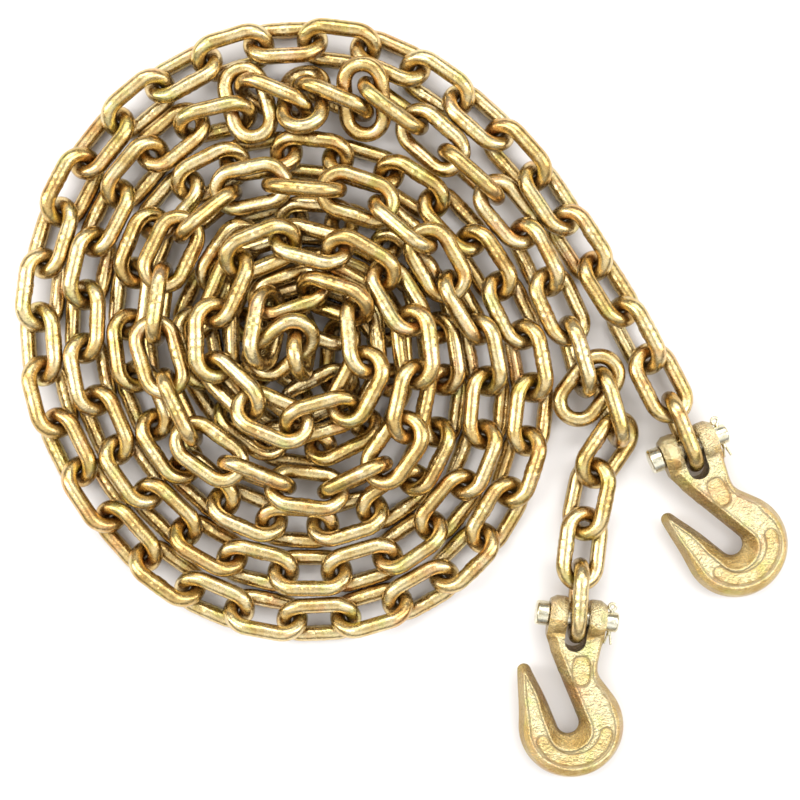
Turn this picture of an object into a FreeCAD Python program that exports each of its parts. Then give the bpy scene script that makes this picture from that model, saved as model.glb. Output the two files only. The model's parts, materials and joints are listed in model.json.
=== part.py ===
"""Binder chain with a clevis grab hook at each end, lying coiled on the ground. Millimetres, Z up."""
import FreeCAD
import Part
import math
import os
import random

V = FreeCAD.Vector
doc = FreeCAD.newDocument("binder_chain")
sheet = doc.addObject("Spreadsheet::Sheet", "Sizes")

SIZES = [
    ("wire_dia", 10.0), ("inside_length", 35.0), ("inside_width", 14.0),
    ("bend_radius", "=(inside_width + wire_dia) / 2"),
    ("straight_length", "=inside_length - inside_width"),
    ("weld_rise", 0.25), ("weld_pitch", 4.4), ("weld_bead", 1.1),
    ("link_gap", 0.6), ("ground_gap", 0.3),
    ("ear_span", 36.0), ("ear_radius", 12.5), ("slot_width", 13.5), ("slot_depth", 20.5),
    ("pin_dia", 12.7), ("pin_play", 0.16), ("head_dia", 15.6), ("head_length", 8.0),
    ("pin_tail", 8.0), ("end_play", 0.4), ("cotter_dia", 2.9), ("cotter_hole", 3.4),
    ("body_radius", 33.5), ("body_x", 6.0), ("body_y", -70.0), ("body_half", 9.5),
    ("draft_angle", 22.0), ("throat_radius", 6.9), ("throat_x", 3.6), ("throat_y", -68.0),
    ("throat_lean", 30.0), ("neck_y", -34.0),
]
for row, (name, value) in enumerate(SIZES, 1):
    sheet.set("A%d" % row, name)
    sheet.set("B%d" % row, str(value))
    sheet.setAlias("B%d" % row, name)
doc.recompute()


def size(name):
    return float(sheet.get(name))


WIRE, BEND, HALF = size("wire_dia"), size("bend_radius"), size("straight_length") / 2
CROWN = HALF + BEND


# ---------------------------------------------------------------- how the chain lies

def mix(p, q, t):
    return (p[0] + (q[0] - p[0]) * t, p[1] + (q[1] - p[1]) * t)


class Link:
    """A rigid link: centre, direction of its length, direction of its width."""

    def __init__(self, centre, along, roll, fixed=False):
        d = math.hypot(along[0], along[1])
        ax, ay = round(along[0] / d, 9), round(along[1] / d, 9)
        s, c = round(math.sin(roll), 9), round(math.cos(roll), 9)
        self.c = [round(v, 6) for v in centre]
        self.a = [ax, ay, 0.0]
        self.w = [-ay * c, ax * c, s]
        self.aim = (self.c[0], self.c[1])
        self.fixed = fixed

    def lay(self, ring):
        (cx, cy, cz), (ax, ay, az), (wx, wy, wz) = self.c, self.a, self.w
        self.n = (ay * wz - az * wy, az * wx - ax * wz, ax * wy - ay * wx)
        self.p = [(cx + u * ax + v * wx, cy + u * ay + v * wy, cz + u * az + v * wz) for u, v in ring]

    def shift(self, p, v, ring):
        """Moves and turns the link as a push v at point p does."""
        rx, ry, rz = p[0] - self.c[0], p[1] - self.c[1], p[2] - self.c[2]
        ox, oy = (ry * v[2] - rz * v[1]) / 300, (rz * v[0] - rx * v[2]) / 300
        oz = (rx * v[1] - ry * v[0]) / 300
        a, w = self.a, self.w
        self.c = [self.c[k] + v[k] for k in range(3)]
        a = [a[0] + oy * a[2] - oz * a[1], a[1] + oz * a[0] - ox * a[2], a[2] + ox * a[1] - oy * a[0]]
        w = [w[0] + oy * w[2] - oz * w[1], w[1] + oz * w[0] - ox * w[2], w[2] + ox * w[1] - oy * w[0]]
        m = 1 / math.sqrt(a[0] * a[0] + a[1] * a[1] + a[2] * a[2])
        a = [q * m for q in a]
        d = a[0] * w[0] + a[1] * w[1] + a[2] * w[2]
        w = [w[k] - d * a[k] for k in range(3)]
        m = 1 / math.sqrt(w[0] * w[0] + w[1] * w[1] + w[2] * w[2])
        self.a, self.w = a, [q * m for q in w]
        self.lay(ring)


def ring_points(n_arc, n_side):
    """Points round the centre line of a link, as (along, across)."""
    pts = []
    for end in (1, -1):
        for k in range(n_arc + 1):
            t = math.pi * (k / n_arc - 0.5)
            pts.append((round(end * (HALF + BEND * math.cos(t)), 9), round(end * BEND * math.sin(t), 9)))
        for k in range(1, n_side):
            pts.append((round(end * (HALF - 2 * HALF * k / n_side), 9), end * BEND))
    return pts


def deepest(one, other, touch):
    """The point of one that presses most into the other: depth, point, way out."""
    bx, by, bz = other.c
    nx, ny, nz = other.n
    ax, ay, az = other.a
    wx, wy, wz = other.w
    reach, best, hit = CROWN + touch, touch * touch, None
    for q in one.p:
        dx, dy, dz = q[0] - bx, q[1] - by, q[2] - bz
        z = dx * nx + dy * ny + dz * nz
        if z > touch or z < -touch:
            continue
        x = dx * ax + dy * ay + dz * az
        if x > reach or x < -reach:
            continue
        y = dx * wx + dy * wy + dz * wz
        ex = x - HALF if x > HALF else (x + HALF if x < -HALF else 0.0)
        rho = math.sqrt(ex * ex + y * y)
        f = rho - BEND
        d2 = f * f + z * z
        if d2 < best and rho > 1e-6:
            best, hit = d2, (q, f * ex / rho, f * y / rho, z)
    if hit is None or best < 1e-12:
        return None
    d = math.sqrt(best)
    q, gx, gy, z = hit
    out = tuple((gx * p + gy * r + z * t) / d for p, r, t in zip((ax, ay, az), (wx, wy, wz), (nx, ny, nz)))
    return touch - d, q, out


def give(link, p, n):
    """How easily a link gives way at p along n."""
    if link.fixed:
        return 0.0
    rx, ry, rz = p[0] - link.c[0], p[1] - link.c[1], p[2] - link.c[2]
    x, y, z = ry * n[2] - rz * n[1], rz * n[0] - rx * n[2], rx * n[1] - ry * n[0]
    return 1 + (x * x + y * y + z * z) / 300


def part_pair(one, other, touch, ring):
    """Pushes two links apart where they press into each other; the depth found."""
    worst = 0.0
    for p_link, q_link in ((one, other), (other, one)):
        hit = deepest(p_link, q_link, touch)
        if hit is None:
            continue
        depth, p, n = hit
        worst = max(worst, depth)
        ease = give(p_link, p, n) + give(q_link, p, n)
        if ease == 0:
            continue
        s = min(depth, 1.0) / ease
        if not p_link.fixed:
            p_link.shift(p, (n[0] * s, n[1] * s, n[2] * s), ring)
        if not q_link.fixed:
            q_link.shift(p, (-n[0] * s, -n[1] * s, -n[2] * s), ring)
    return worst


def near(one, other):
    return sum((one.c[k] - other.c[k]) ** 2 for k in range(3)) < 3600


def settle(links, rounds, sink, pull, ring):
    """Lets the links sink to the ground and push clear of each other."""
    touch, ground = WIRE + size("link_gap"), WIRE / 2 + size("ground_gap")
    for link in links:
        link.lay(ring)
    for turn in range(rounds):
        if turn % 15 == 0:
            pairs = [(p, q) for i, p in enumerate(links) for q in links[i + 1:] if near(p, q)]
        for link in links:
            if link.fixed:
                continue
            if pull or sink:
                link.c[0] += (link.aim[0] - link.c[0]) * pull
                link.c[1] += (link.aim[1] - link.c[1]) * pull
                link.c[2] -= sink
                link.lay(ring)
            low = min(link.p, key=lambda q: q[2])
            if low[2] < ground:
                link.shift(low, (0, 0, (ground - low[2]) / give(link, low, (0, 0, 1))), ring)
        worst = 0.0
        for p, q in (pairs if turn % 2 else reversed(pairs)):
            worst = max(worst, part_pair(p, q, touch, ring))
    return worst


def linking(one, other):
    """Signed count of how often one runs through the opening of the other."""
    n, pts = 0, one.p
    for k in range(len(pts)):
        p, q = [pts[k - 1][m] - other.c[m] for m in range(3)], [pts[k][m] - other.c[m] for m in range(3)]
        z0, z1 = (sum(v[m] * other.n[m] for m in range(3)) for v in (p, q))
        if (z0 < 0) == (z1 < 0):
            continue
        r = [p[m] + (q[m] - p[m]) * z0 / (z0 - z1) for m in range(3)]
        x, y = sum(r[m] * other.a[m] for m in range(3)), sum(r[m] * other.w[m] for m in range(3))
        if math.hypot(max(0.0, abs(x) - HALF), y) < BEND:
            n += 1 if z1 > z0 else -1
    return n


# Joints of the loose ends on the ground, from the hook inward
END_A = [(246, -76), (233, -43), (218.5, -13), (202.5, 18), (184.5, 47), (165, 74.5), (142.5, 101),
         (118.5, 127), (93.5, 151), (69, 172), (40, 184.5), (5, 188.5), (-29, 188), (-62, 176)]
END_B = [(172.3, -184), (174.5, -149), (178, -114), (185.5, -81.5), (195, -52), (198, -24), (166, -27),
         (171, 15), (156, 48.5), (137.5, 79), (116, 107), (93.5, 128.5), (65.5, 137.5), (46, 167),
         (28.5, 136), (8.5, 165), (-9.5, 135), (-27.5, 165), (-44, 134.5), (-73, 144)]
# The fold in end B: link number, centre, direction, where it is drawn to
FOLD_B = {4: ((196, -38), (0.07, 1), (196, -38)), 5: ((183, -18), (-0.91, -0.41), (183, -41)),
          6: ((172.5, -1.5), (0.04, 1), (176, -25.5)), 7: (None, None, (170.5, -4.5))}
ROW_START, ROW_STEP, ROW_EASE, ROW_LAST = 190.0, 31.0, 1.3, 8.0
NARROW = 0.935


SMOOTH = 60


def row_radius(n):
    return ROW_START - ROW_STEP * n + ROW_EASE * n * n


def spiral(row, turn):
    """One strand winding inward, two rows to a turn, flatter on its upper right, fuller on its lower right."""
    pts, start = [], turn
    while row + (turn - start) / 180 <= ROW_LAST:
        n, t = row + (turn - start) / 180, math.radians(turn)
        r = row_radius(n)
        r *= 1 - 0.15 * min(1, max(0, (n - 0.9) / 0.4)) * max(0, math.cos(t - math.radians(60))) ** 2
        r *= 1 + 0.12 * max(0, math.cos(t + math.radians(65))) ** 2
        pts.append((NARROW * r * math.cos(t), r * math.sin(t)))
        turn += 2
    return pts


def walk(path, step, count):
    """Joints a straight step apart along a path, which runs on past its end."""
    d = math.dist(path[-1], path[-2])
    path = path + [mix(path[-2], path[-1], 1 + 900 / d)]
    out, cur, i = [path[0]], path[0], 0
    for _ in range(count):
        while math.dist(cur, path[i + 1]) < step:
            i += 1
        low, high = 0.0, 1.0
        for _ in range(40):
            t = (low + high) / 2
            low, high = (t, high) if math.dist(cur, mix(path[i], path[i + 1], t)) < step else (low, t)
        cur = mix(path[i], path[i + 1], high)
        out.append(cur)
    return out


def coil_joints():
    """All the joints from hook A to hook B; the step is trimmed so the two ends meet."""
    inward, outward = spiral(0.0, 124), spiral(1.0, 128)[::-1]
    across = [mix(inward[-1], outward[0], k / 50) for k in range(1, 50)]
    path = [END_A[-1]] + inward + across + outward + [END_B[-1]]
    first = len(inward) - 20
    for _ in range(SMOOTH):
        for k in range(first, first + 90):
            path[k] = mix(path[k - 1], path[k + 1], 0.5)
    end, back = path[-1], path[-2]
    ahead = (end[0] - back[0], end[1] - back[1])
    count = 1
    while True:
        p = walk(path, 34.5, count)[-1]
        if math.dist(p, end) < 40 and (p[0] - end[0]) * ahead[0] + (p[1] - end[1]) * ahead[1] > 0:
            break
        count += 1
    low, high = 33.0, 34.5
    for _ in range(40):
        step = (low + high) / 2
        p = walk(path, step, count)[-1]
        past = (p[0] - end[0]) * ahead[0] + (p[1] - end[1]) * ahead[1] > 0
        low, high = (low, step) if past else (step, high)
    return END_A + walk(path, step, count)[1:-1] + END_B[::-1]


def laid_links():
    """The links in their places before they settle."""
    joints = coil_joints()
    count = len(joints) - 1
    middle = min(range(len(joints)), key=lambda k: math.hypot(*joints[k]))
    dice = random.Random(5)
    links = []
    for k in range(count):
        p, q = joints[k], joints[k + 1]
        from_a = k < middle
        s = k if from_a else count - 1 - k
        centre, along = mix(p, q, 0.5), (q[0] - p[0], q[1] - p[1])
        twist = min(45, 4 + 5 * s) if from_a else (-20 if s < 22 else -45)
        roll = math.radians((90 if s % 2 == 0 else 0) + twist + dice.uniform(-6, 6) * (s > 2))
        if s == 0:
            roll = math.radians(90)
        z = 15.0
        if not from_a:
            r = math.hypot(centre[0] / NARROW, centre[1])
            inward = ROW_START - min(r, ROW_START)
            n = (ROW_STEP - math.sqrt(ROW_STEP ** 2 - 4 * ROW_EASE * inward)) / 2 / ROW_EASE
            z += 20 * min(1, max(0, (n - 1.5) / 1.5)) + 8 * min(1, max(0, (n - 4) / 2))
            if 9 <= s <= 20:
                z = 15 + 22 * min(1, (s - 8) / 4)
            elif 20 < s <= 25:
                z = max(z, 15 + 22 * (26 - s) / 6)
            elif s in FOLD_B:
                z = 20 if s == 5 else 17
        if abs(k - middle) < 5:
            z = 15 + 28 * min(1, max(0, 0.5 + (k - middle + 0.5) / 6))
        place, way, aim = FOLD_B.get(s, (None, None, None)) if not from_a else (None, None, None)
        link = Link((place or centre) + (z,), way or along, roll, s == 0)
        if aim:
            link.aim = aim
        if s == 0:
            link.c[2] = BEND + WIRE / 2 + size("ground_gap")
        if dice.random() < 0.5:
            link.w = [-v for v in link.w]
        links.append(link)
    return links


def settled_links():
    links = laid_links()
    settle(links, 250, 0.15, 0.02, ring_points(8, 5))
    settle(links, 200, 0.08, 0.005, ring_points(8, 5))
    for _ in range(20):
        worst = settle(links, 50, 0.0, 0.0, ring_points(12, 8))
        if worst < 0.04:
            break
    for i, p in enumerate(links):
        for j in range(i + 1, len(links)):
            if near(p, links[j]) or j == i + 1:
                joined = abs(linking(p, links[j]))
                assert joined == (1 if j == i + 1 else 0), ("links", i, j)
    assert worst < 0.1, worst
    return links


# ---------------------------------------------------------------- shapes

def bind(obj, **texts):
    """Ties properties to the sheet; in a name, __ stands for a dot."""
    for name, text in texts.items():
        obj.setExpression(name.replace("__", "."), text)
    return obj


def turned(obj, axis, angle):
    obj.Placement.Rotation = FreeCAD.Rotation(axis, angle)
    return obj


def link_shape():
    """Two half tori and two bars, with the two ridges of the weld on one bar."""
    parts = []
    for side, way in (("right", 1), ("left", -1)):
        bend = turned(doc.addObject("Part::Torus", "bend_" + side), V(0, 0, 1), -90 * way)
        bind(bend, Radius1="Sizes.bend_radius", Radius2="Sizes.wire_dia / 2",
             Placement__Base__x="%d * Sizes.straight_length / 2" % way)
        bend.Angle3 = 180
        bar = turned(doc.addObject("Part::Cylinder", "bar_" + side), V(0, 1, 0), 90)
        bind(bar, Radius="Sizes.wire_dia / 2", Height="Sizes.straight_length",
             Placement__Base__x="-Sizes.straight_length / 2",
             Placement__Base__y="%d * Sizes.bend_radius" % way)
        ridge = turned(doc.addObject("Part::Torus", "weld_" + side), V(0, 1, 0), 90)
        bind(ridge, Radius1="Sizes.wire_dia / 2 + Sizes.weld_rise - Sizes.weld_bead",
             Radius2="Sizes.weld_bead", Placement__Base__x="%d * Sizes.weld_pitch / 2" % way,
             Placement__Base__y="Sizes.bend_radius")
        parts += [bend, bar, ridge]
    link = doc.addObject("Part::MultiFuse", "one_link")
    link.Shapes = parts
    link.Refine = True
    doc.recompute()
    return link.Shape


def arc(centre, radius, start, end):
    """Arc of a sketch between two angles in degrees, counterclockwise."""
    ring = Part.Circle(V(centre[0], centre[1], 0), V(0, 0, 1), radius)
    return Part.ArcOfCircle(ring, math.radians(start), math.radians(end))


def at(centre, radius, angle):
    angle = math.radians(angle)
    return (centre[0] + radius * math.cos(angle), centre[1] + radius * math.sin(angle))


def line(p, q):
    return Part.LineSegment(V(p[0], p[1], 0), V(q[0], q[1], 0))


def outline(name, pieces):
    sketch = doc.addObject("Sketcher::SketchObject", name)
    sketch.addGeometry(pieces, False)
    return sketch


def extrusion(name, base, forward, back, **more):
    body = doc.addObject("Part::Extrusion", name)
    body.Base, body.DirMode, body.Solid = base, "Normal", True
    bind(body, LengthFwd=forward, LengthRev=back, **more)
    return body


def hook_body():
    """The drafted flat of the hook: shank, round belly, throat and point."""
    belly, big = (size("body_x"), size("body_y")), size("body_radius")
    throat, r, lean = (size("throat_x"), size("throat_y")), size("throat_radius"), size("throat_lean")
    inner_r, inner_l = at(throat, r, lean), at(throat, r, lean + 180)
    neck_l, point_r = at(inner_r, 46, lean + 90), at(inner_l, 42, lean + 90)
    tip_r = 4.4
    tip = at(point_r, tip_r, lean + 180)
    apart, heading = math.dist(belly, tip), math.atan2(tip[1] - belly[1], tip[0] - belly[0])
    side = math.degrees(heading + math.acos((big - tip_r) / apart))
    shoulder = at(belly, big, 45)
    waist = at(shoulder, 12, 135)
    hollow = at(waist, 14, 45)
    neck = (hollow[0] - 14, hollow[1])
    top = size("neck_y") + 16
    return outline("hook_outline", [
        line(inner_r, neck_l), line(neck_l, (-16, top)), line((-16, top), (neck[0], top)),
        line((neck[0], top), neck), arc(hollow, 14, 180, 225), line(waist, shoulder),
        arc(belly, big, side, 405), line(at(belly, big, side), at(tip, tip_r, side)),
        arc(tip, tip_r, lean, side), line(point_r, inner_l), arc(throat, r, lean + 180, lean + 360)])


def hook_head():
    """The clevis head: rounded about the pin, narrowing to the neck."""
    r, low, half = size("ear_radius"), -40.0, size("body_half") - 0.9
    far = math.hypot(low, half)
    touch = math.degrees(math.atan2(half, low) - math.acos(r / far))
    upper, lower = at((0, 0), r, touch), at((0, 0), r, -touch)
    profile = outline("head_profile", [arc((0, 0), r, -touch, touch), line(upper, (low, half)),
                                       line((low, half), (low, -half)), line((low, -half), lower)])
    upright = FreeCAD.Rotation(V(0, 1, 0), V(0, 0, 1), V(1, 0, 0), "ZXY")
    profile.Placement = FreeCAD.Placement(V(0, 0, 0), upright)
    corners = [(-18, 13), (-18, -14), (-7, -36), (17, -36), (17, -28), (18, -13), (18, 13)]
    plan = outline("head_plan", [line(p, q) for p, q in zip(corners, corners[1:] + corners[:1])])
    block = doc.addObject("Part::MultiCommon", "hook_head")
    block.Shapes = [extrusion("head_side", profile, "Sizes.ear_span / 2", "Sizes.ear_span / 2"),
                    extrusion("head_top", plan, "Sizes.ear_radius + 1", "Sizes.ear_radius + 1")]
    return block


def hook_cuts():
    """Slot, pin hole and the two sunk name fields, which are left blank."""
    slot = bind(doc.addObject("Part::Box", "slot"), Length="Sizes.slot_width", Width="Sizes.slot_depth + 8",
                Height="40", Placement__Base__x="-Sizes.slot_width / 2", Placement__Base__z="-20",
                Placement__Base__y="-Sizes.slot_depth + Sizes.slot_width / 2")
    root = bind(doc.addObject("Part::Cylinder", "slot_root"), Radius="Sizes.slot_width / 2", Height="40",
                Placement__Base__z="-20", Placement__Base__y="-Sizes.slot_depth + Sizes.slot_width / 2")
    hole = turned(doc.addObject("Part::Cylinder", "pin_hole"), V(0, 1, 0), 90)
    bind(hole, Radius="(Sizes.pin_dia + Sizes.pin_play) / 2", Height="50", Placement__Base__x="-25")
    oval = doc.addObject("Part::Ellipse", "field_oval")
    oval.MajorRadius, oval.MinorRadius = 9.5, 5.2
    oval.Placement = FreeCAD.Placement(V(6.6, -32.5, 8.4), FreeCAD.Rotation(V(0, 0, 1), 97))
    belly = (size("body_x"), size("body_y"))
    ends = [at(belly, 20.6, a) for a in (-148, 0)]
    band = outline("field_band", [arc(belly, 24.2, -148, 0), arc(belly, 17.0, -148, 0),
                                  arc(ends[0], 3.6, 32, 212), arc(ends[1], 3.6, 0, 180)])
    band.Placement.Base.z = size("body_half") - 0.55
    fields = [extrusion("field_" + base.Name, base, "4", "0") for base in (oval, band)]
    return [slot, root, hole] + fields


def hook_shape():
    outer = hook_body()
    flat = extrusion("hook_flat", outer, "Sizes.body_half", "Sizes.body_half",
                     TaperAngle="-Sizes.draft_angle", TaperAngleRev="-Sizes.draft_angle")
    whole = doc.addObject("Part::MultiFuse", "hook_blank")
    whole.Shapes = [flat, hook_head()]
    cut = doc.addObject("Part::Cut", "hook_forging")
    tools = doc.addObject("Part::MultiFuse", "hook_cuts")
    tools.Shapes = hook_cuts()
    cut.Base, cut.Tool, cut.Refine = whole, tools, True
    doc.recompute()
    return cut.Shape


def along_x(name, radius, length, start):
    bar = turned(doc.addObject("Part::Cylinder", name), V(0, 1, 0), 90)
    return bind(bar, Radius=radius, Height=length, Placement__Base__x=start)


def pin_shape():
    """Headed clevis pin with a cross hole for the cotter."""
    shank = along_x("pin_shank", "Sizes.pin_dia / 2", "Sizes.ear_span + Sizes.end_play + Sizes.pin_tail",
                    "-Sizes.ear_span / 2 - Sizes.end_play")
    head = along_x("pin_head", "Sizes.head_dia / 2", "Sizes.head_length",
                   "-Sizes.ear_span / 2 - Sizes.end_play - Sizes.head_length")
    whole = doc.addObject("Part::Fuse", "pin_turned")
    whole.Base, whole.Tool = shank, head
    cross = turned(doc.addObject("Part::Cylinder", "cotter_hole"), V(1, 0, 0), 90)
    bind(cross, Radius="Sizes.cotter_hole / 2", Height="20", Placement__Base__y="10",
         Placement__Base__x="Sizes.ear_span / 2 + 3.4")
    drilled = doc.addObject("Part::Cut", "pin_drilled")
    drilled.Base, drilled.Tool, drilled.Refine = whole, cross, True
    doc.recompute()
    rims = [e for e in drilled.Shape.Edges if abs(e.BoundBox.XLength) < 1e-4 and e.BoundBox.YLength > 12
            and (e.BoundBox.XMin > size("ear_span") / 2 + 6 or e.BoundBox.XMin < -size("ear_span") / 2 - 1)]
    return drilled.Shape.makeChamfer(0.9, rims)


def cotter_shape():
    """Split pin: eye, stem through the pin, two opened legs."""
    x, r = size("ear_span") / 2 + 3.4, size("cotter_dia") / 2
    eye = Part.makeTorus(2.1, 1.0, V(x, 9.6, 0), V(0, 0, 1))
    stem = Part.makeCylinder(r, 16.6, V(x, 7.9, 0), V(0, -1, 0))
    legs = [Part.makeCylinder(0.72, 6.5, V(x + 0.7 * k, -8.2, 0), V(0.22 * k, -1, 0.12 * k))
            for k in (1, -1)]
    return eye.fuse([stem] + legs).removeSplitter()


# ---------------------------------------------------------------- pieces in place

def link_place(link):
    a, w = V(*link.a), V(*link.w)
    return FreeCAD.Placement(V(*link.c), FreeCAD.Rotation(a, w, a.cross(w), "XYZ"))


def hook_place(link, toward, yaw):
    """Hook frame: pin along X, hook pointing down its own -Y, laid over to rest on the ground."""
    way = V(*link.a) if link.a[0] * toward[0] + link.a[1] * toward[1] > 0 else -V(*link.a)
    pin = V(*link.c) + way * (HALF + 0.3)
    flat = FreeCAD.Rotation(-(way.cross(V(0, 0, -1))), -way, V(0, 0, 1), "YZX")
    spin = FreeCAD.Rotation(V(0, 0, 1), yaw)
    fall = (pin.z - size("body_half")) / (size("body_radius") - size("body_y") - 3.8)
    return FreeCAD.Placement(pin, spin * flat * FreeCAD.Rotation(V(1, 0, 0), math.degrees(math.asin(fall))))


ORIGIN = (62.25, -38.73)
MOVING_A, MOVING_B, RUNS = 5, 4, 44


def node(name, shapes):
    """A named piece in its place, moved so the origin is under the middle of the whole."""
    piece = doc.addObject("Part::Feature", name)
    piece.Label = name
    piece.Shape = shapes[0] if len(shapes) == 1 else Part.makeCompound(shapes)
    home = V(-ORIGIN[0], -ORIGIN[1], 0)
    piece.Placement = FreeCAD.Placement(home, FreeCAD.Rotation()).multiply(piece.Placement)
    return piece


def placed(shape, place):
    copy = shape.copy()
    copy.Placement = place.multiply(shape.Placement)
    return copy


def assemble():
    links, link, hook = settled_links(), link_shape(), hook_shape()
    pin, cotter = pin_shape(), cotter_shape()
    pieces = []
    for end, first, toward, yaw in (("a", links[0], (0.4, -0.9), 0.0), ("b", links[-1], (0, -1), -4.0)):
        place = hook_place(first, toward, yaw)
        for name, shape in (("grab_hook_", hook), ("clevis_pin_", pin), ("cotter_pin_", cotter)):
            pieces.append(node(name + end, [placed(shape, place)]))
    for k in range(MOVING_A):
        pieces.append(node("end_link_a%d" % (k + 1), [placed(link, link_place(links[k]))]))
    for k in range(MOVING_B):
        pieces.append(node("end_link_b%d" % (k + 1), [placed(link, link_place(links[-1 - k]))]))
    rest = links[MOVING_A:len(links) - MOVING_B]
    for j in range(RUNS):
        run = rest[len(rest) * j // RUNS:len(rest) * (j + 1) // RUNS]
        pieces.append(node("coil_links_%02d" % (j + 1), [placed(link, link_place(each)) for each in run]))
    return pieces


pieces = assemble()
doc.recompute()
for obj in doc.Objects:
    assert not {"Invalid", "Error"} & set(obj.State), obj.Name
    if hasattr(obj, "Shape"):
        assert not obj.Shape.isNull() and obj.Shape.isValid(), obj.Name
os.makedirs("parts", exist_ok=True)
for piece in pieces:
    piece.Shape.exportStep("parts/%s.step" % piece.Label)
print("pieces", len(pieces), "links", sum(len(p.Shape.Solids) for p in pieces if "link" in p.Label))
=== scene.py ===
"""A coiled length of yellow zinc binder chain with a clevis grab hook on each end."""

import json
import math

import bmesh
import bpy
import numpy as np
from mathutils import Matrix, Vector

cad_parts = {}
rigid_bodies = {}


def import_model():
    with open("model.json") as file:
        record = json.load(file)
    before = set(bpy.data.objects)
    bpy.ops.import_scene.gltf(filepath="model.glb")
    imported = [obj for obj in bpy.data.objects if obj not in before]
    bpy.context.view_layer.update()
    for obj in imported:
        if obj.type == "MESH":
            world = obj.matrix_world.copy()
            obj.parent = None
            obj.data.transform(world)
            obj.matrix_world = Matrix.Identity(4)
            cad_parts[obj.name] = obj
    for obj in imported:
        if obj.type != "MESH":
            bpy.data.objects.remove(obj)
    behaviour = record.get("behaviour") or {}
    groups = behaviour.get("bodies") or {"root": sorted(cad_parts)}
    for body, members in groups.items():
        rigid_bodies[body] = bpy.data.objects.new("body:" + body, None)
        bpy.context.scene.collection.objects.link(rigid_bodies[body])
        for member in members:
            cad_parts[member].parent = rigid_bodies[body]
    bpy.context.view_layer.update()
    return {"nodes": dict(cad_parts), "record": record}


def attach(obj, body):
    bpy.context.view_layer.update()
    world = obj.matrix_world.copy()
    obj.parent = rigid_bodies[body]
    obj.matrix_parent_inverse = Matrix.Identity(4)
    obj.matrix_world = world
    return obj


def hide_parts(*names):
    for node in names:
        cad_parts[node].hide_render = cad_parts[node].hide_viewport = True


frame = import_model()
BODY_OF = {node: body for body, nodes in frame["record"]["behaviour"]["bodies"].items() for node in nodes}
JOINTS = frame["record"]["behaviour"]["joints"]
FULL_TURN = 2 * math.pi
MM = 1000               # millimetres in a metre


# ------------------------------------------------------------------ material helpers

def new_material(name):
    material = bpy.data.materials.new(name)
    material.use_nodes = True
    tree = material.node_tree
    return material, tree, tree.nodes["Principled BSDF"]


def add_node(tree, kind, **values):
    """A new node; each value goes to the input of that name, or else to the node's own setting."""
    node = tree.nodes.new(kind)
    for key, value in values.items():
        if key in node.inputs:
            node.inputs[key].default_value = value
        else:
            setattr(node, key, value)
    return node


def feed(tree, socket, value):
    """Give a socket a number, a colour or another node's output."""
    if isinstance(value, tuple):
        socket.default_value = (*value, 1.0)
    elif isinstance(value, (int, float)):
        socket.default_value = value
    else:
        tree.links.new(value, socket)


def object_place(tree):
    return add_node(tree, "ShaderNodeTexCoord").outputs["Object"]


def painted(tree, attribute):
    """A value that build_mesh stored at each point."""
    return add_node(tree, "ShaderNodeAttribute", attribute_name=attribute).outputs["Fac"]


def noise(tree, where, scale, detail, rough):
    node = add_node(tree, "ShaderNodeTexNoise", Scale=scale, Detail=detail, Roughness=rough)
    tree.links.new(where, node.inputs["Vector"])
    return node.outputs["Fac"]


def ramp(tree, value, stops):
    """Colour ramp with (position, colour) stops."""
    node = tree.nodes.new("ShaderNodeValToRGB")
    band = node.color_ramp
    while len(band.elements) < len(stops):
        band.elements.new(0.5)
    for element, (place, colour) in zip(band.elements, stops):
        element.position = place
        element.color = (*colour, 1.0)
    tree.links.new(value, node.inputs["Fac"])
    return node.outputs["Color"]


def grey(value):
    return (value, value, value)


def mixed_colour(tree, share, first, second, how="MIX"):
    node = tree.nodes.new("ShaderNodeMixRGB")
    node.blend_type = how
    for socket, value in zip(node.inputs, (share, first, second)):
        feed(tree, socket, value)
    return node.outputs["Color"]


def arithmetic(tree, how, first, second):
    node = add_node(tree, "ShaderNodeMath", operation=how)
    for socket, value in zip(node.inputs, (first, second)):
        feed(tree, socket, value)
    return node.outputs[0]


def tinted(tree, base, mask, share, colour):
    """The base colour, moved towards another by a share of the mask."""
    return mixed_colour(tree, arithmetic(tree, "MULTIPLY", mask, share), base, colour)


def bump(tree, height, strength, distance, before=None):
    node = add_node(tree, "ShaderNodeBump", Strength=strength, Distance=distance)
    tree.links.new(height, node.inputs["Height"])
    if before is not None:
        tree.links.new(before, node.inputs["Normal"])
    return node.outputs["Normal"]


# ------------------------------------------------------------------ materials

PINK, GREEN = (1.0, 0.8, 0.78), (0.86, 1.0, 0.74)
STAIN, FLECK = (0.45, 0.25, 0.08), (0.4, 0.26, 0.09)
# Painted shade colours: the first browns sides tilted away from the light above, the second darkens where
# parts nearly touch
SIDE_SHADE_BROWN, CONTACT_SHADE_BROWN = (0.23, 0.15, 0.06), (0.16, 0.085, 0.025)
CLEAR = (1, 1, 1)
# Noise scales, in features per metre
PATCH_SCALE, FILM_SCALE, STAIN_SCALE, WEAR_SCALE, LUMP_SCALE = 95, 62, 210, 330, 170
FLECKS_PER_GRAIN = 1.4
FILM_SHARE, STAIN_SHARE, FLECK_SHARE, CONTACT_SHADE_SHARE = 0.85, 0.6, 0.38, 0.8
NOOK_ROUGH_SHARE, NOOK_ROUGH = 0.6, 0.6
BUMP_STRENGTH, LUMP_DEPTH = 0.5, 0.0005


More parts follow.
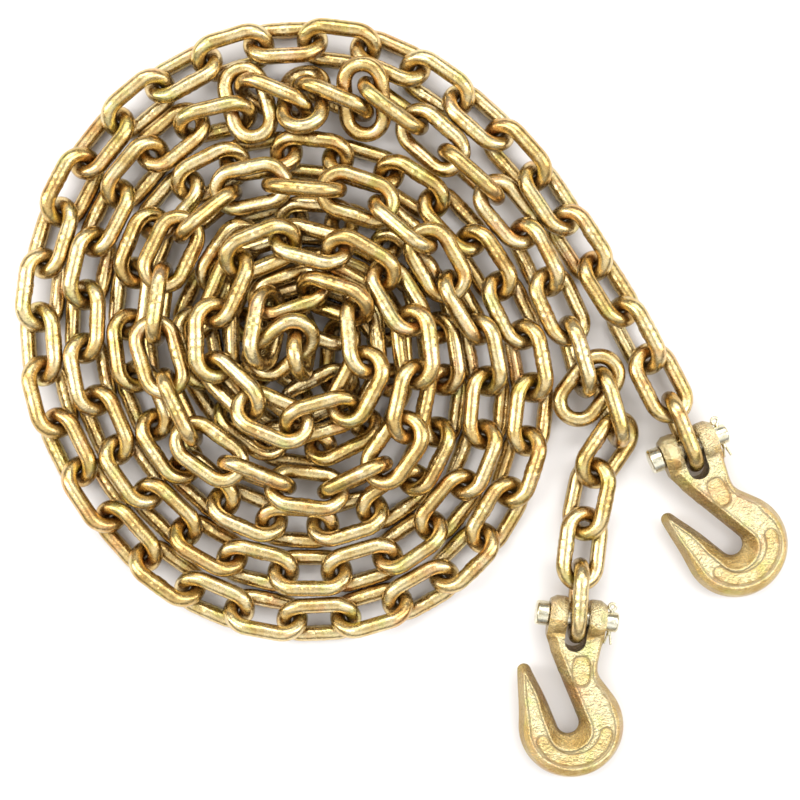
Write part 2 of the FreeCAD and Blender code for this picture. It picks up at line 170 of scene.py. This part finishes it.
def zinc_colour(tree, where, painted_shade, pale, gold, deep, patch_share, tone_share, side_shade_share, grain):
    """Gold in patches, with pink and green tints, stains and flecks, and painted shade: browner on sides
    tilted away from the light above and where parts nearly touch.
    """
    patches = noise(tree, where, PATCH_SCALE, 4.0, 0.6)
    blend = arithmetic(tree, "ADD", arithmetic(tree, "MULTIPLY", patches, patch_share),
                       arithmetic(tree, "MULTIPLY", painted(tree, "tone"), tone_share))
    base = ramp(tree, blend, [(0.25, deep), (0.42, gold), (0.6, pale), (0.78, gold)])
    film = ramp(tree, noise(tree, where, FILM_SCALE, 2.0, 0.5),
                [(0.3, PINK), (0.43, CLEAR), (0.57, CLEAR), (0.7, GREEN)])
    base = mixed_colour(tree, FILM_SHARE, base, film, "MULTIPLY")
    stains = ramp(tree, noise(tree, where, STAIN_SCALE, 5.0, 0.7), [(0.56, grey(0.0)), (0.75, grey(1.0))])
    base = tinted(tree, base, stains, STAIN_SHARE, STAIN)
    flecks = ramp(tree, noise(tree, where, FLECKS_PER_GRAIN * grain, 3.0, 0.6),
                  [(0.52, grey(0.0)), (0.66, grey(1.0))])
    base = tinted(tree, base, flecks, FLECK_SHARE, FLECK)
    # Painted shade: sides that tilt away from the light above are browned
    base = tinted(tree, base, painted(tree, "painted_side_shade"), side_shade_share, SIDE_SHADE_BROWN)
    # Painted shade: darkest where neighbouring parts nearly touch, and along the hooks' painted shade lines
    return tinted(tree, base, painted_shade, CONTACT_SHADE_SHARE, CONTACT_SHADE_BROWN)


def zinc_plate(name, pale, gold, deep, patch_share, tone_share, side_shade_share, rough, grain, grain_depth):
    """Yellow chromate over steel; rough is its lowest and highest roughness, grain its pits a metre."""
    material, tree, shader = new_material(name)
    where, painted_shade = object_place(tree), painted(tree, "painted_shade")
    colour = zinc_colour(tree, where, painted_shade, pale, gold, deep, patch_share, tone_share, side_shade_share, grain)
    tree.links.new(colour, shader.inputs["Base Color"])

    wear = ramp(tree, noise(tree, where, WEAR_SCALE, 4.0, 0.65),
                [(0.35, grey(rough[0])), (0.68, grey(rough[1]))])
    dull = tinted(tree, wear, painted_shade, NOOK_ROUGH_SHARE, grey(NOOK_ROUGH))
    tree.links.new(dull, shader.inputs["Roughness"])

    lumps = noise(tree, where, LUMP_SCALE, 3.0, 0.5)
    pits = noise(tree, where, grain, 4.0, 0.6)
    soft = bump(tree, lumps, BUMP_STRENGTH, LUMP_DEPTH)
    tree.links.new(bump(tree, pits, BUMP_STRENGTH, grain_depth, soft), shader.inputs["Normal"])
    shader.inputs["Metallic"].default_value = 1.0
    return material


def pin_plate():
    """Paler, smoother zinc on the turned pins and the cotters."""
    straw, cream, silver = (0.58, 0.5, 0.3), (0.8, 0.75, 0.56), (0.88, 0.85, 0.72)
    cloud_scale, wear_scale, grain = 140, 420, 900
    material, tree, shader = new_material("pin_zinc")
    where = object_place(tree)
    clouds = noise(tree, where, cloud_scale, 3.0, 0.55)
    base = ramp(tree, clouds, [(0.3, straw), (0.5, cream), (0.72, silver)])
    tree.links.new(base, shader.inputs["Base Color"])
    rough = ramp(tree, noise(tree, where, wear_scale, 4.0, 0.6), [(0.35, grey(0.16)), (0.7, grey(0.36))])
    tree.links.new(rough, shader.inputs["Roughness"])
    pits = noise(tree, where, grain, 3.0, 0.6)
    tree.links.new(bump(tree, pits, 0.35, 0.0002), shader.inputs["Normal"])
    shader.inputs["Metallic"].default_value = 1.0
    return material


CHAIN = zinc_plate("chain_zinc", pale=(0.82, 0.67, 0.37), gold=(0.68, 0.48, 0.19), deep=(0.46, 0.28, 0.085),
                   patch_share=0.8, tone_share=0.16, side_shade_share=0.72,
                   rough=(0.17, 0.32), grain=700, grain_depth=0.0003)
HOOK = zinc_plate("hook_zinc", pale=(0.86, 0.75, 0.455), gold=(0.77, 0.595, 0.28), deep=(0.61, 0.42, 0.15),
                  patch_share=0.64, tone_share=0.25, side_shade_share=0.6,
                  rough=(0.15, 0.27), grain=760, grain_depth=0.0036)
PIN = pin_plate()


# ------------------------------------------------------------------ reading the links' places, in metres

WIRE_R = 0.005
BEND_R = 0.012          # of the wire's middle line, in a link's round ends
HALF = 0.0105           # half length of a link's straight sides
WELDED_TOGETHER = 1e-6  # points of a solid that are nearer than this are one
WELD_ZONE = 0.004       # the weld's extra points are this close to the link's middle


def islands(node):
    """The separate solids of a CAD node, each as an array of its points, in the mesh's own order."""
    mesh = bmesh.new()
    mesh.from_mesh(frame["nodes"][node].data)
    bmesh.ops.remove_doubles(mesh, verts=mesh.verts, dist=WELDED_TOGETHER)
    mesh.verts.index_update()
    seen = [False] * len(mesh.verts)
    found = []
    for first in mesh.verts:
        waiting, group = [first], []
        while waiting:
            vert = waiting.pop()
            if seen[vert.index]:
                continue
            seen[vert.index] = True
            group.append(vert.co[:])
            waiting += [edge.other_vert(vert) for edge in vert.link_edges]
        if group:
            found.append(np.array(group))
    mesh.free()
    return found


def link_frame(points):
    """Centre, long axis and cross axis (towards the weld) of a link from its points."""
    axes = np.linalg.eigh(np.cov((points - points.mean(0)).T))[1]
    long, cross = axes[:, 2], axes[:, 1]
    flat = np.stack([long, cross], 1)
    local = (points - points.mean(0)) @ flat
    middle = (local.max(0) + local.min(0)) / 2
    centre = points.mean(0) + middle[0] * long + middle[1] * cross
    normal = np.cross(long, cross)
    level = (points - centre) @ normal
    centre = centre + normal * (level.max() + level.min()) / 2
    x, y = ((points - centre) @ flat).T
    if np.sum((np.abs(x) < WELD_ZONE) * np.sign(y)) < 0:
        cross = -cross
    return centre, long, cross


def link_places(start):
    """The frames of all links in the nodes whose names begin so, by node."""
    return {n: [link_frame(p) for p in islands(n)] for n in frame["nodes"] if n.startswith(start)}


def clearance(points, link):
    """Distance from points to the surface of a link's wire."""
    centre, long, cross = link
    offset = points - centre
    x, y, z = offset @ long, offset @ cross, offset @ np.cross(long, cross)
    past = np.sign(x) * np.maximum(np.abs(x) - HALF, 0)
    return np.sqrt((np.hypot(past, y) - BEND_R) ** 2 + z ** 2) - WIRE_R


# ------------------------------------------------------------------ pieces

SIDE_SHADE_RISE, SIDE_SHADE_POWER = 0.82, 1.3     # a normal rising less than this starts to get painted side shade


def build_mesh(name, points, faces, tone, painted_shade, material):
    """A smooth piece that carries its tone and its painted shade, where parts nearly touch and on sides
    tilted away from the light above, at its points for the material.
    """
    mesh = bpy.data.meshes.new(name)
    mesh.from_pydata(points.tolist(), [], faces.tolist())
    mesh.update()
    mesh.shade_smooth()
    # Painted side shade, baked at rest: the less a normal rises, the browner its point is painted
    rise = np.array([n.vector.z for n in mesh.vertex_normals])
    painted_side_shade = np.clip((SIDE_SHADE_RISE - rise) / SIDE_SHADE_RISE, 0, 1) ** SIDE_SHADE_POWER
    for label, values in (("tone", tone), ("painted_shade", painted_shade), ("painted_side_shade", painted_side_shade)):
        mesh.attributes.new(label, "FLOAT", "POINT").data.foreach_set("value", values.astype(np.float32))
    mesh.materials.append(material)
    piece = bpy.data.objects.new(name, mesh)
    bpy.context.scene.collection.objects.link(piece)
    return piece


def swap(piece, node):
    """Let a piece stand for a CAD node, on that node's body."""
    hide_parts(node)
    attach(piece, BODY_OF[node])


def bell(distance, width, power=2):
    """1 at distance 0, falling smoothly to nothing past the width."""
    return np.exp(-(distance / width) ** power)


# ------------------------------------------------------------------ the links, in metres

ROUND = 26              # vertices round the wire
STEP = 0.0011           # spacing of the rings along it
SHAPES = 8              # different links, used again and again
SHAPE_SEED = 7
LUMPS = 0.000045
# The weld: two raised rims, the swelling between them and the groove in its middle
RIM_PLACE, RIM_WIDTH, RIM_RISE = 0.0026, 0.0009, 0.00016
SWELL_WIDTH, SWELL_RISE = 0.0045, 0.00012
GROOVE_WIDTH, GROOVE_DEPTH = 0.001, 0.0001
WELD_SHIFT = 0.0006
# The flash trimmed off one side of the weld
FLASH_TURN, FLASH_SPREAD, FLASH_WIDTH, FLASH_RISE = 2.4, 0.3, 0.0035, 0.0003
# Where a round end is pressed flat outside and pinched at its sides
PRESS_DEPTH, PINCH_DEPTH = 0.00028, 0.00016
DENTS = (5, 10)
DENT_SIZE = (0.0007, 0.0022)
DENT_DEPTH = (0.00004, 0.00016)
RING_R = 0.0187         # radius of a circle as long as the link's middle line
CONTACT_SHADE_REACH = 0.0011     # painted shade darkens where a neighbour is about this close
FAR_GAP = 0.02
NEIGHBOUR_REACH = 0.06


def around_link():
    """Stations along the wire: place and outward direction, starting at one end of the welded side."""
    straight, bend = 2 * HALF, math.pi * BEND_R
    total = 2 * (straight + bend)
    count = int(total / STEP)
    stations = []
    for i in range(count):
        s = total * i / count
        if s < straight:
            place, out = (HALF - s, BEND_R), (0, 1)
        elif s < straight + bend:
            t = (s - straight) / BEND_R
            out = (-math.sin(t), math.cos(t))
            place = (-HALF + BEND_R * out[0], BEND_R * out[1])
        elif s < 2 * straight + bend:
            place, out = (-HALF + s - straight - bend, -BEND_R), (0, -1)
        else:
            t = (s - 2 * straight - bend) / BEND_R
            out = (math.sin(t), -math.cos(t))
            place = (HALF + BEND_R * out[0], BEND_R * out[1])
        stations.append((place, out))
    return stations


def waves(rng, count, s, t, longest):
    """Smooth lumps on a closed tube: a few random waves along it and round it."""
    total = np.zeros_like(s)
    for _ in range(count):
        height = rng.normal()
        phase = rng.integers(1, longest) * s + rng.integers(0, 4) * t + rng.uniform(0, 6.3)
        total += height * np.cos(phase)
    return total / math.sqrt(count)


def weld_relief(at, t):
    """Height of the weld, by the distance from its middle and the turn round the wire."""
    relief = RIM_RISE * (bell(at + RIM_PLACE, RIM_WIDTH) + bell(at - RIM_PLACE, RIM_WIDTH))
    relief += SWELL_RISE * bell(at, SWELL_WIDTH, 4)
    relief -= GROOVE_DEPTH * bell(at, GROOVE_WIDTH)
    return relief + FLASH_RISE * bell(t - FLASH_TURN, FLASH_SPREAD) * bell(at, FLASH_WIDTH, 4)


def nearest_turn(angle):
    """An angle brought between minus and plus half a turn."""
    return (angle + math.pi) % FULL_TURN - math.pi


def link_points(seed):
    """Points of one link with its weld, the marks of its bending and small dents."""
    rng = np.random.default_rng(seed)
    stations = around_link()
    rows = np.array([p for p, _ in stations])[:, None, :]
    outs = np.array([o for _, o in stations])[:, None, :]
    s, t = np.meshgrid(np.linspace(0, FULL_TURN, len(stations), endpoint=False),
                       np.linspace(0, FULL_TURN, ROUND, endpoint=False), indexing="ij")
    x, side = rows[..., 0], rows[..., 1]

    radius = WIRE_R + LUMPS * waves(rng, 10, s, t, 6)
    at = x - rng.uniform(-WELD_SHIFT, WELD_SHIFT)
    radius += (side > 0.9 * BEND_R) * weld_relief(at, t)
    bent = np.clip((np.abs(x) - HALF) / BEND_R, 0, 1) ** 0.5
    radius -= bent * PRESS_DEPTH * np.clip(np.cos(t), 0, 1) ** 2
    radius -= bent * PINCH_DEPTH * np.abs(np.sin(t)) ** 6
    for _ in range(rng.integers(*DENTS)):
        where, around = rng.uniform(0, FULL_TURN), rng.uniform(0, FULL_TURN)
        size = rng.uniform(*DENT_SIZE)
        apart = np.hypot(nearest_turn(s - where) * RING_R, nearest_turn(t - around) * WIRE_R)
        radius -= rng.uniform(*DENT_DEPTH) * bell(apart, size)

    xy = rows + outs * (radius * np.cos(t))[..., None]
    z = radius * np.sin(t)
    return np.concatenate([xy, z[..., None]], 2).reshape(-1, 3)


def tube_faces(rings, start):
    """Faces of a closed tube whose first point has the number start."""
    i, j = np.meshgrid(np.arange(rings), np.arange(ROUND), indexing="ij")
    down, over = (i + 1) % rings, (j + 1) % ROUND
    corners = [i * ROUND + j, down * ROUND + j, down * ROUND + over, i * ROUND + over]
    return np.stack([c.ravel() for c in corners], 1) + start


def make_links():
    """Every link of the chain, in place of its plain CAD solid."""
    shapes = [link_points(seed) for seed in range(SHAPES)]
    rings = len(around_link())
    places = link_places(("coil_links", "end_link"))
    every = [link for links in places.values() for link in links]
    rng = np.random.default_rng(SHAPE_SEED)
    for node in sorted(places):
        points, faces, tone, painted_shade = [], [], [], []
        for link in places[node]:
            centre, long, cross = link
            turned_over = rng.choice([-1, 1])
            body = shapes[rng.integers(len(shapes))] * (turned_over, 1, turned_over)
            body = centre + body @ np.stack([long, cross, np.cross(long, cross)])
            gap = np.full(len(body), FAR_GAP)
            for other in every:
                if other is not link and np.linalg.norm(other[0] - centre) < NEIGHBOUR_REACH:
                    gap = np.minimum(gap, clearance(body, other))
            faces.append(tube_faces(rings, rings * ROUND * len(points)))
            points.append(body)
            tone.append(np.full(len(body), rng.uniform(0, 1)))
            # Painted shade that grows as a neighbouring link comes close
            painted_shade.append(bell(np.clip(gap, 0, 1), CONTACT_SHADE_REACH, 1))
        piece = build_mesh(node + "_forged", np.concatenate(points), np.concatenate(faces),
                           np.concatenate(tone), np.concatenate(painted_shade), CHAIN)
        swap(piece, node)


make_links()


# ------------------------------------------------------------------ the forged hooks, in millimetres

# A hook's own axes: X along the pin, Y from the belly to the ears, Z up; the pin's centre is at zero
FACE = 8.9                                              # half thickness at the flat
EAR_R = 12.5
BELLY = (6.0, -70.0)                                    # middle of the round belly
THROAT, LEAN = (3.6, -68.0), math.radians(120)          # middle of the throat's root, its direction
OVAL, OVAL_TURN = (6.6, -32.5), math.radians(97)        # the oval field
OVAL_LONG, OVAL_WIDE = 9.4, 5.6
BAND_START, BAND_R, BAND_SPREAD, BAND_HALF = math.radians(-148), 20.2, 1.6, 3.9
PRONG_BEND = 1.8                                        # how far the prong's tip is bent outwards
HEAD = -7                                               # the head is above this Y
SLOT_HALF, SLOT_END = 7.7, -22
BORE_HALF, BORE_R = 17, 8
EARS_TOP = 6                                            # the outline above this Y is left out
HOOK_CELL, HOOK_ROUNDS = 0.0005, 3
# Painted shade near the end links: how far it reaches and how strong it is
HOOK_CONTACT_SHADE_REACH, HOOK_CONTACT_SHADE_SHARE = 0.0025, 0.8


def step(value, low, high):
    """A smooth step from 0 at low to 1 at high."""
    share = np.clip((value - low) / (high - low), 0, 1)
    return share * share * (3 - 2 * share)


def remeshed(node, cell, rounds):
    """Points and faces of a CAD node divided evenly, with its sharp edges rounded."""
    work = bpy.data.objects.new("work", frame["nodes"][node].data.copy())
    bpy.context.scene.collection.objects.link(work)
    cover = work.modifiers.new("cover", "REMESH")
    cover.mode, cover.voxel_size = "VOXEL", cell
    soften = work.modifiers.new("soften", "SMOOTH")
    soften.factor, soften.iterations = 0.5, rounds
    graph = bpy.context.evaluated_depsgraph_get()
    mesh = bpy.data.meshes.new_from_object(work.evaluated_get(graph))
    bpy.data.objects.remove(work)
    points = np.array([v.co for v in mesh.vertices])
    faces = np.array([list(p.vertices) for p in mesh.polygons])
    return points, faces


def hook_axes(points, node):
    """Pin centre and the hook's own axes: along the pin, towards the ears, up."""
    turn = next(j for j in JOINTS if j["parent"] == BODY_OF[node] and j["name"].startswith("pin"))
    pin, along = np.array(turn["pos_m"]), np.array(turn["axis"])
    up = np.cross(points.mean(0) - pin, along)
    up /= np.linalg.norm(up)
    return pin, np.stack([along, np.cross(up, along), up])


def middle_outline(node, pin, axes):
    """Edges of the hook's outline in its middle plane, without the slot and the pin hole."""
    cut = bmesh.new()
    cut.from_mesh(frame["nodes"][node].data)
    found = bmesh.ops.bisect_plane(cut, geom=cut.verts[:] + cut.edges[:] + cut.faces[:],
                                   plane_co=pin.tolist(), plane_no=axes[2].tolist())["geom_cut"]
    edges = [[v.co[:] for v in e.verts] for e in found if isinstance(e, bmesh.types.BMEdge)]
    cut.free()
    flat = ((np.array(edges) - pin) @ axes.T * MM)[..., :2]
    x, y = np.abs(flat[..., 0]).max(1), flat[..., 1].mean(1)
    slot = (x < SLOT_HALF) & (y > SLOT_END)
    bore = (x < BORE_HALF) & (np.abs(y) < BORE_R)
    return flat[~slot & ~bore & (y < EARS_TOP)]


def nearest(points, edges):
    """Distance from flat points to the outline, and the closest place on it."""
    best, place = np.full(len(points), 1e9), np.zeros((len(points), 2))
    for start, end in edges:
        way = end - start
        share = np.clip((points - start) @ way / max(way @ way, 1e-9), 0, 1)
        spot = start + share[:, None] * way
        gap = np.hypot(*(points - spot).T)
        closer = gap < best
        best[closer], place[closer] = gap[closer], spot[closer]
    return best, place


def in_throat(flat):
    """How far flat points are across the throat's middle line, and along it."""
    off = flat - THROAT
    return off @ (math.sin(LEAN), -math.cos(LEAN)), off @ (math.cos(LEAN), math.sin(LEAN))


def belly_turn(flat):
    return np.arctan2(flat[:, 1] - BELLY[1], flat[:, 0] - BELLY[0])


def slope_width(place):
    """How wide the sloping border is at each place of the outline, and whether it is the throat's."""
    throat_half, throat_start = 8.5, -9
    side_width, belly_more, neck_width = 5.5, 2.0, 2.6
    throat_width, root_more, tip_less = 6.2, 2.2, 0.42
    across, along = in_throat(place)
    inner = (np.abs(across) < throat_half) & (along > throat_start)
    turn = belly_turn(place)
    belly_width = side_width - 0.5 * np.cos(turn) + belly_more * np.clip(-np.sin(turn), 0, 1) ** 2
    neck = step(place[:, 0], 8, 14) * step(place[:, 1], -52, -44)
    outer_width = belly_width * (1 - neck) + neck_width * neck
    inner_width = throat_width + root_more * step(-along, 0, 6)
    tip = (across < 0) * step(along, 6, 32)
    return np.where(inner, inner_width, outer_width) * (1 - tip_less * tip), inner


def field_edges(flat):
    """Signed distances to the edges of the oval field and the curved one, both left blank."""
    off = flat - OVAL
    u = off @ (math.cos(OVAL_TURN), math.sin(OVAL_TURN))
    v = off @ (-math.sin(OVAL_TURN), math.cos(OVAL_TURN))
    oval = OVAL_WIDE * ((np.abs(u / OVAL_LONG) ** 3 + np.abs(v / OVAL_WIDE) ** 3) ** (1 / 3) - 1)
    held = np.clip(belly_turn(flat), BAND_START, 0)
    reach = BAND_R + BAND_SPREAD * np.clip(np.cos(held), 0, 1) ** 2
    spine = np.stack([BELLY[0] + reach * np.cos(held), BELLY[1] + reach * np.sin(held)], 1)
    return oval, np.hypot(*(flat - spine).T) - BAND_HALF


def ripples(rng, flat, shortest, longest, count):
    """A smooth random surface made of waves of the given lengths."""
    total = np.zeros(len(flat))
    for _ in range(count):
        turn, length = rng.uniform(0, math.pi), rng.uniform(shortest, longest)
        way = np.array([math.cos(turn), math.sin(turn)]) * FULL_TURN / length
        total += np.cos(flat @ way + rng.uniform(0, 6.3))
    return total / math.sqrt(count)


def face_height(rng, flat, inward, width, inner, fields, top):
    """Half thickness of the forging: the slope at its edge, the ridge, the sunken flat and the fields."""
    ridge_rise, ridge_width, flat_sink = 0.42, 0.8, 0.5
    coarse, fine, waves_each = 0.09, 0.05, 24
    groove_depth, groove_width, field_rise = 0.4, 0.55, 0.28
    share = np.clip(inward / width, 0, 1)
    rounded = np.sqrt(1 - (1 - 0.8 * share) ** 2) / 0.98
    height = FACE * np.where(inner, share ** 0.6, rounded)
    past = inward - width
    height += ridge_rise * bell(past, ridge_width) * step(-flat[:, 1], 16, 24)
    height -= flat_sink * step(past, 0.4, 2.6)
    coarse_ripples = ripples(rng, flat, 2.5, 7, waves_each)
    height += coarse * coarse_ripples + fine * ripples(rng, flat, 1.2, 2.4, waves_each)
    for edge in fields:
        height -= top * (groove_depth * bell(edge, groove_width) - field_rise * step(-edge, 0.3, 1.0))
    return height


def round_head(x, y, z, height):
    """Turn the ears round about the pin, and press everything else down to its height."""
    outer_taper, inner_taper, cheek_taper = 2.6, 0.9, 1.5
    ear = EAR_R - outer_taper * np.clip((np.abs(x) - 14.2) / 4, 0, 1)
    ear -= inner_taper * np.clip((8.6 - np.abs(x)) / 2, 0, 1)
    shrink = np.minimum(1, ear / np.maximum(np.hypot(y, z), 1e-6))
    head = y > HEAD
    y = np.where(head, y * shrink, y)
    z = np.where(head, z * shrink, z)
    cheek = (FACE - cheek_taper * step(np.abs(x), 14, 18)) * step(y, -21, -8)
    cap = np.maximum(np.maximum(height, cheek), np.sqrt(np.clip(ear ** 2 - y ** 2, 0, None)))
    return y, np.where(head, z, np.sign(z) * np.minimum(np.abs(z), cap))


def paint_shade_lines(y, z, past, inner, fields, top):
    """Painted shade lines: round the fields, under the ears, along the ridge, and a little painted shade on
    the throat's slope.
    """
    crease_y, ridge_foot, body_top = -9.3, 1.2, -24
    round_fields, under_ears, along_ridge, on_slope = 0.9, 0.5, 0.7, 0.22
    marks = round_fields * top * bell(np.minimum(*fields) - 0.2, 0.5)
    marks = np.maximum(marks, under_ears * bell(y - crease_y, 1.0) * (np.abs(z) > 7))
    marks = np.maximum(marks, along_ridge * bell(past - ridge_foot, 0.45) * (y < body_top))
    return np.maximum(marks, on_slope * inner * step(-past, 0, 2))


def forge(local, edges, seed):
    """Press the hook's relief into its blank; gives the points, how flat each is, and its painted shade
    lines.
    """
    rng = np.random.default_rng(seed)
    x, y, z = local.T.copy()
    flat = local[:, :2]
    top = z > 0
    inward, place = nearest(flat, edges)
    width, inner = slope_width(place)
    past = inward - width
    fields = field_edges(flat)
    height = face_height(rng, flat, inward, width, inner, fields, top)
    y, z = round_head(x, y, z, height)
    across, along = in_throat(flat)
    prong_bend = -PRONG_BEND * step(along, 16, 46) * step(-across, 5, 7)
    x, y = x + prong_bend * math.sin(LEAN), y - prong_bend * math.cos(LEAN)
    marks = paint_shade_lines(y, z, past, inner, fields, top)
    face = step(past, -0.5, 0.5) * (1 - 0.6 * top * step(-np.minimum(*fields), -0.2, 0.4))
    return np.stack([x, y, z], 1), face, marks


def relaxed(points, faces):
    """Points moved half way to the mean of their neighbours."""
    a = faces.ravel()
    b = np.roll(faces, -1, 1).ravel()
    size = len(points)
    count = np.bincount(a, minlength=size) + np.bincount(b, minlength=size)
    total = np.zeros_like(points)
    for k in range(3):
        total[:, k] = np.bincount(a, points[b, k], size) + np.bincount(b, points[a, k], size)
    return 0.5 * points + 0.5 * total / np.maximum(count, 1)[:, None]


def make_hook(node, seed):
    points, faces = remeshed(node, HOOK_CELL, HOOK_ROUNDS)
    pin, axes = hook_axes(points, node)
    local, face, marks = forge((points - pin) @ axes.T * MM, middle_outline(node, pin, axes), seed)
    points = pin + relaxed(local, faces) @ axes / MM
    held = [link for links in link_places("end_link").values() for link in links]
    gap = np.min([clearance(points, link) for link in held], 0)
    # Painted shade: the hook's dark lines, and darkening where the end links come close
    painted_shade = np.maximum(marks, HOOK_CONTACT_SHADE_SHARE * bell(np.clip(gap, 0, 1), HOOK_CONTACT_SHADE_REACH, 1))
    swap(build_mesh(node + "_forged", points, faces, face, painted_shade, HOOK), node)


# ------------------------------------------------------------------ the pins

CLEVIS_CELL, CLEVIS_ROUNDS = 0.0004, 2
COTTER_CELL, COTTER_ROUNDS = 0.0002, 1


def make_turned(node, cell, rounds):
    """A pin or a cotter with its edges rounded."""
    points, faces = remeshed(node, cell, rounds)
    none = np.zeros(len(points))
    swap(build_mesh(node + "_turned", points, faces, none, none, PIN), node)


for number, node in enumerate(sorted(frame["nodes"])):
    if node.startswith("grab_hook"):
        make_hook(node, number)
    if node.startswith("clevis"):
        make_turned(node, CLEVIS_CELL, CLEVIS_ROUNDS)
    if node.startswith("cotter"):
        make_turned(node, COTTER_CELL, COTTER_ROUNDS)


# ------------------------------------------------------------------ floor, light, camera

FLOOR_HALF = 12.0
FLOOR_COLOUR = (0.95, 0.925, 0.91, 1)
LIGHTS_AIM = Vector((0, 0, 0))
SKY_STRENGTH = 1.2
SENSOR = 36
CAMERA_HEIGHT, SEEN_WIDTH, SEEN_LEVEL = 1.0, 0.5096, 0.013
CAMERA_X, CAMERA_Y = -0.0018, -0.0008


def make_floor():
    mesh = bpy.data.meshes.new("floor")
    corners = [(FLOOR_HALF * x, FLOOR_HALF * y, 0) for x, y in ((-1, -1), (1, -1), (1, 1), (-1, 1))]
    mesh.from_pydata(corners, [], [(0, 1, 2, 3)])
    floor = bpy.data.objects.new("floor", mesh)
    bpy.context.scene.collection.objects.link(floor)
    material, _, shader = new_material("white_sweep")
    shader.inputs["Base Color"].default_value = FLOOR_COLOUR
    shader.inputs["Roughness"].default_value = 0.9
    mesh.materials.append(material)


def soft_light(name, place, width, height, power):
    """A soft box that shines on the middle of the coil."""
    data = bpy.data.lights.new(name, "AREA")
    data.shape, data.size, data.size_y = "RECTANGLE", width, height
    data.energy = power
    lamp = bpy.data.objects.new(name, data)
    lamp.location = place
    lamp.rotation_euler = (LIGHTS_AIM - Vector(place)).to_track_quat("-Z", "Y").to_euler()
    bpy.context.scene.collection.objects.link(lamp)


def make_world():
    """A studio that is dim at floor level and below, bright above the horizon, less so at the zenith."""
    world = bpy.data.worlds.new("studio")
    bpy.context.scene.world = world
    world.use_nodes = True
    tree = world.node_tree
    split = tree.nodes.new("ShaderNodeSeparateXYZ")
    tree.links.new(tree.nodes.new("ShaderNodeTexCoord").outputs["Generated"], split.inputs[0])
    sky = ramp(tree, split.outputs["Z"],
               [(0.0, grey(0.24)), (0.4, grey(0.26)), (0.6, grey(1.0)), (0.86, grey(1.1)), (0.97, grey(0.6))])
    tree.links.new(sky, tree.nodes["Background"].inputs["Color"])
    tree.nodes["Background"].inputs["Strength"].default_value = SKY_STRENGTH


def make_camera():
    """Straight above the coil; the view is half a metre wide just above the floor."""
    data = bpy.data.cameras.new("camera")
    data.sensor_width = SENSOR
    data.lens = SENSOR * (CAMERA_HEIGHT - SEEN_LEVEL) / SEEN_WIDTH
    camera = bpy.data.objects.new("camera", data)
    camera.location = (CAMERA_X, CAMERA_Y, CAMERA_HEIGHT)
    bpy.context.scene.collection.objects.link(camera)
    bpy.context.scene.camera = camera


make_floor()
soft_light("left", (-1.1, 0.1, 1.0), 0.5, 1.5, 11)
soft_light("right", (1.1, 0.1, 1.0), 0.5, 1.5, 9)
soft_light("far", (0, 1.1, 1.3), 1.5, 0.5, 9)
make_world()
make_camera()
bpy.context.scene.view_settings.view_transform = "Standard"
